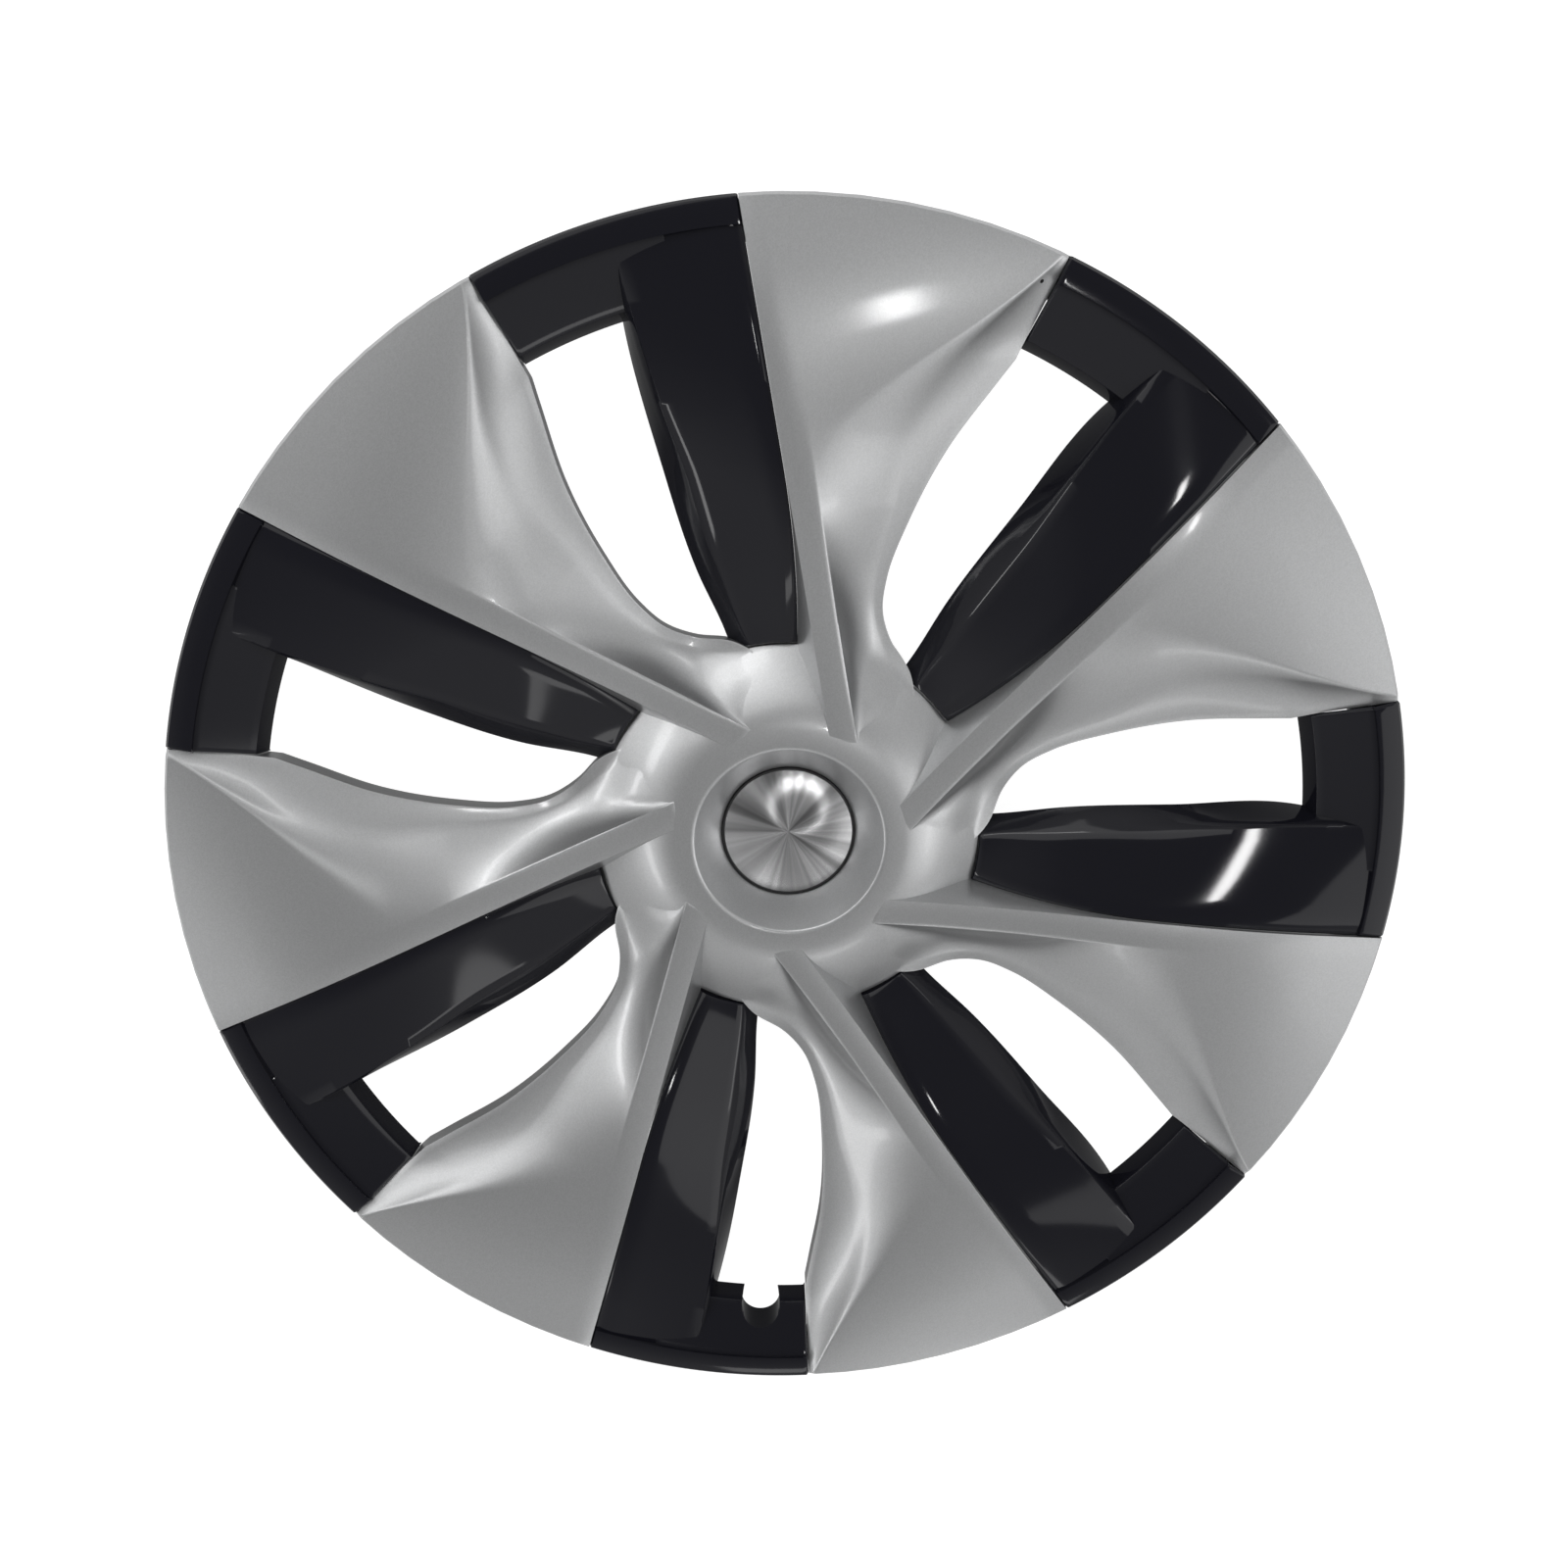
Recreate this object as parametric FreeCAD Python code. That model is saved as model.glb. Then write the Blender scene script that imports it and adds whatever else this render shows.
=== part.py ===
"""Seven-bladed wheel cover: a silver moulding with gloss-black inserts, a centre cap and spring clips.

The cover lies on its back with its face up. +Z is the wheel's axis, pointing out of the wheel, and Z = 0 is the
plane of the clip ends. Heights on the face are given as depths below the plane of the front rim.
All sizes are in millimetres. Only the guide lists of the blades' and inserts' curves are in thousandths of the
cover's diameter, so that these curves still reach the rim when the diameter changes.
Sector 0 is the one whose insert lies along +Y. The other six are turned copies of it.
"""
import FreeCAD
import Part
import math
import os

from FreeCAD import Vector

# overall
cover_diameter = 482.0
overall_depth = 52.0
sector_count = 7
wall = 2.8
rim_rounding = 1.6

# hub: a raised ring, a conical recess inside it and a dome that falls away outside it
ring_radius = 38.9938
ring_depth = 20.485
dome_shoulder_radius = 49.9834
dome_shoulder_fall = 0.482
hub_edge_radius = 78.9998
hub_edge_depth = 33.499
hub_skirt_depth = 41.0182
tip_ledge_width = 3.0
tip_ledge_depth = 37.2104
cap_bore_radius = 23.0
cap_seat_depth = 37.9816
cap_seat_margin = 0.5
recess_foot_depth = 34.9932

# raised strip along one side of each blade
strip_tip_x = 14.9902
strip_tip_y = 49.405
strip_slant = 0.175
strip_width = 10.5076
strip_rise_start = 40.006
strip_rise_end = 216.9964
strip_root_sink = 1.0
strip_root_length = 25.9798

# silver side wall that drops from the strip to the insert, highest at the insert's tip
side_wall_drop = 13.3032
side_wall_lean = 0.47
side_wall_end = 149.9984
insert_step = 0.6

# edge of the blade along the vent: distance from the axis along +Y, offset along +X, depth
vent_edge = (
    (74.7, 103.7, 56.0),
    (107.9, 105.8, 65.4),
    (141.1, 100.6, 69.7),
    (166.0, 85.1, 69.3),
    (190.9, 77.2, 64.7),
    (219.9, 79.3, 57.7),
    (265.6, 94.6, 47.7),
    (323.7, 123.7, 37.3),
    (373.4, 159.8, 30.1),
    (400.4, 179.7, 24.9),
    (458.5, 209.5, 1.9),
    (543.6, 246.9, 0.8),
)
# fold line of the blade: foot of the strip near the hub, edge of the flat outer facet near the rim
fold_line = (
    (74.7, 6.2, 46.5),
    (107.9, 8.3, 51.9),
    (141.1, 11.4, 62.7),
    (174.3, 14.5, 62.2),
    (215.8, 17.6, 51.9),
    (253.1, 20.7, 37.8),
    (290.5, 27.0, 24.5),
    (332.0, 45.6, 14.9),
    (377.6, 95.4, 8.3),
    (414.9, 147.3, 4.1),
    (458.5, 205.4, 0.8),
    (543.6, 253.1, 0.4),
)
blade_stations = (74.7, 116.2, 153.5, 186.7, 224.1, 265.6, 311.2, 361.0, 410.8, 531.1)
hollow_stations = (95.4, 190.9, 249.0, 311.2, 394.2, 489.6)
scoop_steps = 3
vent_flange = 8.4832
scoop_control_run = 0.45
scoop_control_fall = 0.80
side_wall_below_seam = 5.9768

# seam between blade and arm: a radial plane
arm_seam_angle = 117.72
blade_seam_from_radius = 190.0044
seam_gap = 1.0
seat_clearance = 0.3

# rim
rim_skirt_depth = 13.978
carrier_width = 13.978
carrier_thickness = 3.0

# insert: front and back edge of its wall along the vent, as distance along +Y, offset along +X, depth
insert_front_edge = (
    (145.2, -23.9, 73.9),
    (174.3, -38.2, 66.4),
    (225.1, -55.2, 50.4),
    (300.0, -78.8, 34.0),
    (350.0, -97.5, 22.4),
    (435.1, -122.4, 10.4),
    (462.7, -127.4, 7.5),
    (543.6, -141.1, 5.4),
)
insert_back_edge = (
    (145.2, -43.6, 87.1),
    (174.3, -53.1, 80.5),
    (225.1, -74.7, 65.6),
    (310.0, -100.4, 51.0),
    (410.0, -125.3, 42.5),
    (460.6, -129.9, 12.4),
    (543.6, -143.6, 10.4),
)
insert_stations = (145.2, 182.6, 219.9, 261.4, 311.2, 365.1, 410.8, 460.6, 543.6)
insert_hollow_stations = (136.9, 219.9, 311.2, 410.8, 435.7)
insert_wall = 2.6
arm_width = 20.003
arm_inner_depth = 12.0018
arm_wall_lean = 2.41
arm_back_depth = 20.485
arm_start_angle = 101.0
rim_band_width = 9.9774
rim_band_step = 1.1

# valve notch in one arm
valve_sector = 4
valve_notch_radius = 8.4
valve_notch_angle = 112.3
valve_notch_inset = 1.5

# clip posts and clips
post_x = 34.9932
post_y = 187.98
post_width = 14.0
post_thickness = 7.0
post_root_depth = 4.3862
clip_sheet = 0.8
clip_width = 10.0
clip_arm_height = 22.0
clip_barb_reach = 4.0
clip_clearance = 0.15

# centre cap and its disc
cap_radius = 27.4
cap_plate = 2.0
cap_lip = 0.8
disc_thickness = 1.0
disc_clearance = 0.1
cap_leg_count = 4
cap_leg_width = 10.0
cap_leg_thickness = 2.0
cap_leg_clearance = 0.5
cap_hook_reach = 1.7
cap_hook_height = 2.4
cap_leg_tail = 5.0

rim_radius = cover_diameter / 2.0
guide_unit = cover_diameter / 1000.0
rim_z = overall_depth
pitch = 360.0 / sector_count
blade_seam_angle = arm_seam_angle - pitch
arm_inner_radius = rim_radius - rim_band_width - arm_width
arm_back_radius = arm_inner_radius - arm_wall_lean
valve_notch_at_radius = arm_inner_radius + valve_notch_inset
cap_leg_depth = hub_skirt_depth + cap_leg_tail
cut_above = -0.4 * overall_depth
cut_below = 1.6 * overall_depth
axis_point = Vector(0, 0, 0)
axis_direction = Vector(0, 0, 1)


def height(depth):
    """Z of a point that lies `depth` below the front rim plane."""
    return rim_z - depth


def curve_through(rows, column):
    """Smooth function of the first column through the rows of a short guide list."""
    ts = [row[0] * guide_unit for row in rows]
    vs = [row[column] * guide_unit for row in rows]
    steps = [(vs[i + 1] - vs[i]) / (ts[i + 1] - ts[i]) for i in range(len(ts) - 1)]
    slopes = [steps[0]]
    for i in range(1, len(ts) - 1):
        before = ts[i] - ts[i - 1]
        after = ts[i + 1] - ts[i]
        slopes.append((steps[i - 1] * after + steps[i] * before) / (before + after))
    slopes.append(steps[-1])

    def value(t):
        if t <= ts[0]:
            return vs[0] + slopes[0] * (t - ts[0])
        if t >= ts[-1]:
            return vs[-1] + slopes[-1] * (t - ts[-1])
        i = max(j for j in range(len(ts) - 1) if ts[j] <= t)
        span = ts[i + 1] - ts[i]
        u = (t - ts[i]) / span
        start = (1 + 2 * u) * (1 - u) ** 2 * vs[i] + u * (1 - u) ** 2 * span * slopes[i]
        end = u * u * (3 - 2 * u) * vs[i + 1] + u * u * (u - 1) * span * slopes[i + 1]
        return start + end

    return value


vent_x = curve_through(vent_edge, 1)
vent_depth = curve_through(vent_edge, 2)
fold_offset = curve_through(fold_line, 1)
fold_depth = curve_through(fold_line, 2)
front_x = curve_through(insert_front_edge, 1)
front_depth = curve_through(insert_front_edge, 2)
back_x = curve_through(insert_back_edge, 1)
back_depth = curve_through(insert_back_edge, 2)


def strip_left(y):
    """Offset of the strip's edge next to the insert: straight in plan."""
    return strip_tip_x - strip_slant * (y - strip_tip_y)


def strip_right(y):
    """Offset of the strip's other edge, parallel to the first."""
    return strip_left(y) + strip_width


def strip_depth(y):
    """The strip rises from the hub ring to the rim along half a cosine wave. Its root sinks into the dome."""
    s = (y - strip_rise_start) / (strip_rise_end - strip_rise_start)
    s = min(max(s, 0.0), 1.0)
    root = min(max((y - strip_rise_start) / strip_root_length, 0.0), 1.0)
    return ring_depth * (1 + math.cos(math.pi * s)) / 2 + strip_root_sink * (1 - root) ** 2


def wall_drop(y):
    """Height of the silver side wall between strip and insert."""
    u = (y - hub_edge_radius) / (side_wall_end - hub_edge_radius)
    u = min(max(u, 0.0), 1.0)
    return insert_step + side_wall_drop * (1 - u) ** 2


def seam_x(y):
    """Offset of the seam between blade and insert."""
    return strip_left(y) - side_wall_lean * (wall_drop(y) - insert_step)


def seam_depth(y):
    """Depth of the insert's face along that seam."""
    return strip_depth(y) + wall_drop(y)


def at(x, y, depth):
    return Vector(x, y, height(depth))


def turned(shape, sector):
    """Copy of a sector 0 shape turned to another sector."""
    copy = shape.copy()
    copy.rotate(axis_point, axis_direction, -pitch * sector)
    return copy


def revolved(points, start_angle=0.0, sweep=360.0):
    """Solid turned from a closed outline of (radius, depth) points. Angles are counted from +X."""
    corners = [Vector(r, 0, height(d)) for r, d in points]
    face = Part.Face(Part.makePolygon(corners + corners[:1]))
    solid = face.revolve(axis_point, axis_direction, sweep)
    solid.rotate(axis_point, axis_direction, start_angle)
    return solid


def wedge(start_angle, sweep, inner, outer):
    """Full-height sector block between two radii."""
    return revolved(((inner, cut_above), (outer, cut_above), (outer, cut_below), (inner, cut_below)), start_angle, sweep)


def dome_points():
    """Outline of the dome from the ring to the hub's edge."""
    run = hub_edge_radius - dome_shoulder_radius
    fall = hub_edge_depth - ring_depth - dome_shoulder_fall
    points = [(ring_radius + 1.4, ring_depth)]
    points.append((dome_shoulder_radius, ring_depth + dome_shoulder_fall))
    points.append((dome_shoulder_radius + 0.45 * run, ring_depth + dome_shoulder_fall + 0.40 * fall))
    points.append((hub_edge_radius, hub_edge_depth))
    return points


def make_hub():
    """Dished hub, turned from one outline, with the seat and bore for the cap and the ledge for the insert tips."""
    seat_radius = cap_radius + cap_seat_margin
    front = dome_points()
    back = [front[-1], front[1]]
    cone_back = seat_radius + 3.2
    ledge_radius = hub_edge_radius + tip_ledge_width
    outline = [(cap_bore_radius, cap_seat_depth), (seat_radius, cap_seat_depth), (seat_radius, recess_foot_depth),
               (ring_radius - 0.9, ring_depth + 1.1)]
    outline += front
    outline += [(hub_edge_radius, tip_ledge_depth), (ledge_radius, tip_ledge_depth), (ledge_radius, hub_skirt_depth),
                (hub_edge_radius - wall, hub_skirt_depth)]
    outline += [(r - 0.5 * wall, d + 1.2 * wall) for r, d in back]
    outline += [(cone_back, recess_foot_depth + 2.0), (cone_back, hub_skirt_depth), (cap_bore_radius, hub_skirt_depth)]
    return revolved(outline)


def recess_block():
    """Room of the recess inside the ring, kept free of the blades' roots."""
    seat_radius = cap_radius + cap_seat_margin
    return revolved(((0.0, cut_above), (ring_radius - 0.9, cut_above), (ring_radius - 0.9, ring_depth + 1.1),
                     (seat_radius, recess_foot_depth), (seat_radius, cap_seat_depth),
                     (cap_bore_radius, cap_seat_depth), (cap_bore_radius, cut_below), (0.0, cut_below)))


def rim_envelope():
    """Everything inside the bevelled outer edge of the cover."""
    return revolved(((0.0, 0.0), (rim_radius - rim_rounding, 0.0), (rim_radius, rim_rounding),
                     (rim_radius, cut_below), (0.0, cut_below)))


def seam_block(offset, side):
    """Block on one side (+1 or -1 along X) of the seam between strip and insert, used to trim the rim."""
    near = 0.5 * rim_radius
    far = 1.15 * rim_radius
    reach = 0.6 * rim_radius * side
    start = strip_left(near) + offset
    end = strip_left(far) + offset
    corners = [Vector(start, near, 0), Vector(end, far, 0), Vector(end + reach, far, 0),
               Vector(start + reach, near, 0)]
    face = Part.Face(Part.makePolygon(corners + corners[:1]))
    return face.extrude(Vector(0, 0, rim_z + 20.0))


def faceted(sections):
    """Solid through matching sections, skinned with narrow flat facets."""
    count = len(sections[0])
    faces = []
    for near, far in zip(sections, sections[1:]):
        for i in range(count):
            j = (i + 1) % count
            for corners in ((near[i], near[j], far[j]), (near[i], far[j], far[i])):
                faces.append(Part.Face(Part.makePolygon(list(corners) + [corners[0]])))
    for end in (sections[0], sections[-1]):
        faces.append(Part.Face(Part.makePolygon(list(end) + [end[0]])))
    shell = Part.makeShell(faces)
    shell.sewShape()
    solid = Part.makeSolid(shell)
    solid.fix(0.001, 0.001, 0.001)
    return solid


def blade_section(y):
    """Section of a blade at one distance along the strip: strip, fold, scoop and the walls at both sides."""
    left = strip_left(y)
    right = strip_right(y)
    top = strip_depth(y)
    fold_x = right + fold_offset(y)
    fold = fold_depth(y)
    edge_x = vent_x(y)
    edge = vent_depth(y)
    seam = seam_x(y)
    control_x = fold_x + scoop_control_run * (edge_x - fold_x)
    control = fold + scoop_control_fall * (edge - fold)
    points = [at(left, y, top), at(right, y, top)]
    for i in range(scoop_steps + 1):
        u = i / scoop_steps
        a, b, c = (1 - u) ** 2, 2 * u * (1 - u), u * u
        points.append(at(a * fold_x + b * control_x + c * edge_x, y, a * fold + b * control + c * edge))
    points.append(at(edge_x, y, edge + vent_flange))
    points.append(at(seam, y, seam_depth(y) + side_wall_below_seam))
    points.append(at(seam, y, seam_depth(y)))
    return points


def blade_hollow_section(y):
    """Section of the hollow behind a blade, one wall inside its face. It is open at the back."""
    left = seam_x(y) + wall
    right = max(strip_right(y) - 0.4 * wall, left + 2.0)
    fold_x = max(strip_right(y) + fold_offset(y) - 0.4 * wall, right + 1.0)
    edge_x = max(vent_x(y) - wall, fold_x + 2.0)
    middle = 0.5 * (fold_x + edge_x)
    sag = fold_depth(y) + 0.72 * (vent_depth(y) - fold_depth(y)) + 1.2 * wall
    left_top = max(strip_depth(y) + 1.2 * wall, seam_depth(y) - 2.0)
    return [
        at(left, y, left_top),
        at(right, y, strip_depth(y) + 1.2 * wall),
        at(fold_x, y, fold_depth(y) + 1.4 * wall),
        at(middle, y, sag),
        at(edge_x, y, vent_depth(y) + 1.2 * wall),
        at(edge_x, y, cut_below),
        at(left, y, cut_below),
    ]


def make_blade(envelope):
    """One blade with its rim skirt and clip post, in sector 0."""
    blade = faceted([blade_section(y * guide_unit) for y in blade_stations])
    room = revolved(((0.0, cut_above), (rim_radius - wall, cut_above), (rim_radius - wall, cut_below),
                     (0.0, cut_below)))
    room = room.cut(wedge(blade_seam_angle - 30.0, 30.0 + math.degrees(wall / rim_radius),
                          blade_seam_from_radius - wall, 1.15 * rim_radius))
    hollow = faceted([blade_hollow_section(y * guide_unit) for y in hollow_stations]).common(room)
    blade = blade.cut(hollow)
    blade = blade.common(envelope)
    blade = blade.cut(recess_block())
    blade = blade.cut(wedge(blade_seam_angle - 30.0, 30.0, blade_seam_from_radius, 1.15 * rim_radius))
    skirt = revolved(((rim_radius - wall, rim_rounding), (rim_radius, rim_rounding),
                      (rim_radius, rim_skirt_depth + 1.0), (rim_radius - wall, rim_skirt_depth + 1.0)),
                     blade_seam_angle, 36.0)
    skirt = skirt.cut(seam_block(0.0, -1))
    post = Part.makeBox(post_width, post_thickness, height(post_root_depth) - clip_sheet - clip_clearance)
    post.translate(Vector(-post_width / 2, -post_thickness / 2, clip_sheet + clip_clearance))
    post.rotate(axis_point, axis_direction, -math.degrees(math.atan2(post_x, post_y)))
    post.translate(Vector(post_x, post_y, 0))
    return blade.fuse([skirt, post])


def make_carrier():
    """Continuous ring behind the rim that joins the blades and carries the inserts."""
    top = rim_skirt_depth
    return revolved(((rim_radius - carrier_width, top), (rim_radius, top), (rim_radius, top + carrier_thickness),
                     (rim_radius - carrier_width, top + carrier_thickness)))


def upright(radius, top_depth, bottom_depth, place):
    """Upright round bar between two depths."""
    base = Vector(place.x, place.y, height(bottom_depth))
    return Part.makeCylinder(radius, bottom_depth - top_depth, base)


def make_cover_body(envelope):
    """The silver moulding: hub, carrier ring and seven blades in one piece."""
    blade = make_blade(envelope)
    return make_hub().fuse([make_carrier()] + [turned(blade, k) for k in range(sector_count)])


def insert_section(y):
    """Section of an insert's blade: the pitched face and the leaning wall along the vent."""
    seam = seam_x(y) - seam_gap
    face = seam_depth(y)
    return [
        at(seam, y, face),
        at(front_x(y), y, front_depth(y)),
        at(back_x(y), y, back_depth(y)),
        at(seam, y, face + insert_wall),
    ]


def insert_hollow_section(y):
    """Section of the hollow behind an insert's blade, open at the back and towards the seam."""
    seam = seam_x(y) + 4.0
    return [
        at(seam, y, seam_depth(y) + 1.1 * insert_wall),
        at(front_x(y) + insert_wall, y, front_depth(y) + 1.2 * insert_wall),
        at(back_x(y) + insert_wall, y, back_depth(y) + 0.2),
        at(back_x(y) + insert_wall, y, cut_below),
        at(seam, y, cut_below),
    ]


def make_insert(envelope, with_notch):
    """Black insert in sector 0: pitched blade, arm along the rim, rim band and skirt."""
    gap_angle = math.degrees(seam_gap / rim_radius)
    arm_end = arm_seam_angle - gap_angle
    inner_skirt = rim_radius - insert_wall
    band_radius = rim_radius - rim_band_width
    band_under = rim_band_step + 1.3 * insert_wall
    blade = faceted([insert_section(y * guide_unit) for y in insert_stations])
    blade = blade.cut(faceted([insert_hollow_section(y * guide_unit) for y in insert_hollow_stations]))
    blade = blade.cut(wedge(60.0, 90.0, inner_skirt, 1.25 * rim_radius))
    arm = revolved(((band_radius + 1.0, rim_band_step), (arm_inner_radius, arm_inner_depth),
                    (arm_back_radius, arm_back_depth), (arm_back_radius + insert_wall, arm_back_depth),
                    (arm_inner_radius + insert_wall, arm_inner_depth + insert_wall), (band_radius + 1.0, band_under)),
                   arm_start_angle, arm_end - arm_start_angle)
    band = revolved(((rim_radius, 0.0), (band_radius, 0.0), (band_radius, band_under), (inner_skirt, band_under),
                     (inner_skirt, rim_skirt_depth), (rim_radius, rim_skirt_depth)), 90.0, arm_end - 90.0)
    insert = blade.fuse([arm, band])
    if with_notch:
        angle = math.radians(valve_notch_angle)
        place = Vector(valve_notch_at_radius * math.cos(angle), valve_notch_at_radius * math.sin(angle), 0)
        shell = upright(valve_notch_radius + insert_wall, arm_inner_depth - 7.0, arm_back_depth, place)
        cover = revolved(((band_radius + 1.0, rim_band_step), (arm_inner_radius, arm_inner_depth),
                          (arm_back_radius, arm_back_depth), (band_radius + 1.0, arm_back_depth)), 104.0, 13.0)
        insert = insert.fuse(shell.common(cover))
        insert = insert.cut(upright(valve_notch_radius, cut_above, cut_below, place))
    insert = insert.common(envelope)
    insert = insert.cut(seam_block(-seam_gap, 1))
    ledge_radius = hub_edge_radius + tip_ledge_width + seat_clearance
    keep_out = revolved(((0.0, cut_above), (hub_edge_radius + seam_gap, cut_above),
                         (hub_edge_radius + seam_gap, tip_ledge_depth), (ledge_radius, tip_ledge_depth),
                         (ledge_radius, cut_below), (0.0, cut_below)))
    return insert.cut(keep_out)


def make_clip():
    """Spring clip folded from sheet over the end of the post in sector 0, with a barb on its outer arm."""
    half = post_thickness / 2 + clip_clearance
    outer = half + clip_sheet
    top = clip_arm_height
    barb = 0.55 * clip_arm_height
    profile = ((-outer, 0.0), (outer, 0.0), (outer, barb - 5.0), (outer + clip_barb_reach, barb),
               (outer + 0.8, top), (half + 0.5, top), (half + clip_barb_reach - 0.3, barb), (half, barb - 4.5),
               (half, clip_sheet), (-half, clip_sheet), (-half, top), (-outer, top))
    corners = [Vector(-clip_width / 2, radial, z) for radial, z in profile]
    clip = Part.Face(Part.makePolygon(corners + corners[:1])).extrude(Vector(clip_width, 0, 0))
    clip.rotate(axis_point, axis_direction, -math.degrees(math.atan2(post_x, post_y)))
    clip.translate(Vector(post_x, post_y, 0))
    return clip


def make_cap():
    """Snap-in cap: a plate with a low lip round the disc and four hooked legs."""
    top = cap_seat_depth - cap_plate
    lip_inner = cap_radius - cap_lip
    plate = revolved(((0.0, top), (lip_inner, top), (lip_inner, top - disc_thickness),
                      (cap_radius, top - disc_thickness), (cap_radius, cap_seat_depth), (0.0, cap_seat_depth)))
    outside = cap_bore_radius - cap_leg_clearance - 0.6
    inside = outside - cap_leg_thickness
    hook = hub_skirt_depth + seat_clearance
    outline = ((inside, top + 0.5), (outside, top + 0.5), (outside, hook), (outside + cap_hook_reach, hook + 0.3),
               (outside, hook + cap_hook_height), (outside, cap_leg_depth), (inside, cap_leg_depth))
    corners = [Vector(r, -cap_leg_width / 2, height(d)) for r, d in outline]
    leg = Part.Face(Part.makePolygon(corners + corners[:1])).extrude(Vector(0, cap_leg_width, 0))
    legs = []
    for i in range(cap_leg_count):
        copy = leg.copy()
        copy.rotate(axis_point, axis_direction, 360.0 * i / cap_leg_count)
        legs.append(copy)
    return plate.fuse(legs)


def make_disc():
    """Spun aluminium face of the cap."""
    bottom = cap_seat_depth - cap_plate
    return upright(cap_radius - cap_lip - disc_clearance, bottom - disc_thickness, bottom, axis_point)


def save(shape, name):
    solids = shape.Solids
    result = solids[0] if len(solids) == 1 else Part.makeCompound(solids)
    result.exportStep(os.path.join("parts", name + ".step"))


def main():
    os.makedirs("parts", exist_ok=True)
    envelope = rim_envelope()
    save(make_cover_body(envelope), "cover_body")
    plain = make_insert(envelope, False)
    number = 0
    for k in range(sector_count):
        if k == valve_sector:
            save(turned(make_insert(envelope, True), k), "insert_valve")
        else:
            number += 1
            save(turned(plain, k), "insert_%d" % number)
    clip = make_clip()
    for k in range(sector_count):
        save(turned(clip, k), "retaining_clip_%d" % (k + 1))
    save(make_cap(), "centre_cap")
    save(make_disc(), "cap_disc")


if __name__ == "__main__":
    main()
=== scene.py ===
"""Looks of a seven-bladed wheel cover: silver blades, black inserts, a spun disc and spring clips.

Objects are in metres in the row's frame, and named sizes in millimetres unless they say otherwise.
Depths are counted down from the plane of the front rim.
"""
import logging
import math
from dataclasses import dataclass
from enum import Enum
from typing import Callable, Sequence

import bmesh
import bpy
import numpy as np
from mathutils import Matrix, Vector


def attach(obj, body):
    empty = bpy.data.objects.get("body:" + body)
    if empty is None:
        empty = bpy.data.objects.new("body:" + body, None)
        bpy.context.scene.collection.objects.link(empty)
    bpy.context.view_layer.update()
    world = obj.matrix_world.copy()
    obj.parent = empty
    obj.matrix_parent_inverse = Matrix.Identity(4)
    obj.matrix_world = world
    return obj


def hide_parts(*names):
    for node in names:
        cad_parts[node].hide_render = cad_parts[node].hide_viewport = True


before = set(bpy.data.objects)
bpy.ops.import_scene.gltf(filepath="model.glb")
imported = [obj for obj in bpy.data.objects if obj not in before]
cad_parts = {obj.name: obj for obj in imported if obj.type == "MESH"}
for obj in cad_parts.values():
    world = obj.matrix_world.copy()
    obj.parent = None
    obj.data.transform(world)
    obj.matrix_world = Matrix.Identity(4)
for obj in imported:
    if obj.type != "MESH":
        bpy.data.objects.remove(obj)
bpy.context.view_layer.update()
LOG = logging.getLogger("wheel_cover")

Point = tuple[float, float, float]
Curve = Callable[[float], float]
Lane = tuple[Curve, Curve]
Row = tuple[float, float, float]


class Slot(Enum):
    """Material slots of the record."""

    SILVER = "silver_paint"
    BLACK = "black_gloss"
    SATIN = "black_satin"
    DISC = "spun_disc"
    STEEL = "spring_steel"


@dataclass(frozen=True)
class CoverSizes:
    """Driving sizes of the cover, in millimetres."""

    rim_radius: float = 241.0
    rim_plane: float = 52.0
    sectors: int = 7
    ring_depth: float = 20.5
    dome_start: tuple[float, float] = (45.0, 20.7)
    hub_edge_radius: float = 79.0
    hub_edge_depth: float = 33.5
    strip_tip: tuple[float, float] = (15.0, 49.4)
    strip_slant: float = 0.175
    strip_width: float = 10.5
    strip_rise: tuple[float, float] = (40.0, 217.0)
    strip_root_sink: float = 0.38
    strip_root_length: float = 40.0
    wall_drop: float = 13.3
    wall_lean: float = 0.47
    wall_end: float = 150.0
    insert_step: float = 0.6
    seam_gap: float = 1.0
    arm_seam_angle: float = 117.72
    skirt_depth: float = 14.0
    carrier_depth: float = 17.0
    carrier_width: float = 14.0
    band_width: float = 10.0
    band_step: float = 1.1
    cap_radius: float = 27.4

    @property
    def pitch(self) -> float:
        """Angle between sectors in degrees."""
        return 360.0 / self.sectors


SIZES = CoverSizes()

VENT_EDGE: tuple[Row, ...] = (
    (36.0, 50.0, 27.0), (52.0, 51.0, 31.5), (68.0, 48.5, 33.6), (80.0, 41.0, 33.4), (92.0, 37.2, 31.2),
    (106.0, 38.2, 27.8), (128.0, 45.6, 23.0), (156.0, 59.6, 18.0), (180.0, 77.0, 14.5), (193.0, 86.6, 12.0),
    (221.0, 101.0, 0.9), (262.0, 119.0, 0.4))
FOLD_LINE: tuple[Row, ...] = (
    (36.0, 3.0, 22.4), (52.0, 4.0, 25.0), (68.0, 5.5, 30.2), (84.0, 7.0, 30.0), (104.0, 8.5, 25.0),
    (122.0, 10.0, 18.2), (140.0, 13.0, 11.8), (160.0, 22.0, 7.2), (182.0, 46.0, 4.0), (200.0, 71.0, 2.0),
    (221.0, 99.0, 0.4), (262.0, 122.0, 0.2))
INSERT_FRONT: tuple[Row, ...] = (
    (70.0, -11.5, 35.6), (84.0, -18.4, 32.0), (108.5, -26.6, 24.3), (144.6, -38.0, 16.4),
    (168.7, -47.0, 10.8), (209.7, -59.0, 5.0), (223.0, -61.4, 3.6), (262.0, -68.0, 2.6))
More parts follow.
